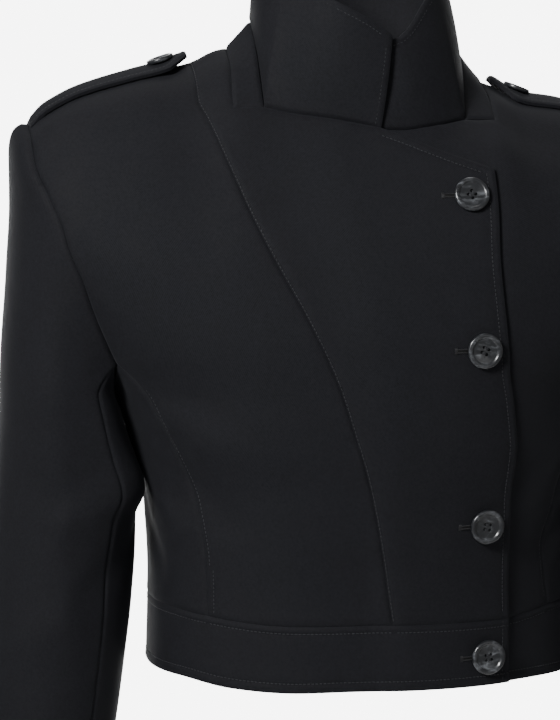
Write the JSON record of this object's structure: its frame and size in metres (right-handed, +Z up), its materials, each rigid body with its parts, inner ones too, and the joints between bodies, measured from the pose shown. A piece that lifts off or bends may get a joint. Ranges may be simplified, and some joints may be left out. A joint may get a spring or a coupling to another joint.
{
  "type": "cropped jacket",
  "caption": "Short fitted jacket with a tall funnel collar, an angled buttoned lap, shoulder straps, long two-piece sleeves and a plain hem band, hollow as worn.",
  "frame": {"origin": "middle of the neck, level with the top of the shoulder beside it", "axes": "+Z up, -Y towards the front of the wearer, +X towards the wearer's left"},
  "size_m": [0.574, 0.2449, 0.7361],
  "materials": {
    "cloth": "matt twill with a faint nap",
    "button": "polished, horn-like"
  },
  "bodies": {
    "root": {"right_front": "cloth", "right_side_front": "cloth", "right_side": "cloth", "left_front": "cloth", "left_side": "cloth", "left_back": "cloth", "right_back": "cloth", "right_band": "cloth", "left_band": "cloth", "back_band": "cloth", "right_upper_sleeve": "cloth", "right_under_sleeve": "cloth", "left_upper_sleeve": "cloth", "left_under_sleeve": "cloth", "collar_stand": "cloth", "collar": "cloth", "right_epaulette": "cloth", "left_epaulette": "cloth", "right_epaulette_button": "button", "left_epaulette_button": "button", "front_button_1": "button", "front_button_2": "button", "front_button_3": "button", "front_button_4": "button"}
  },
  "joints": []
}
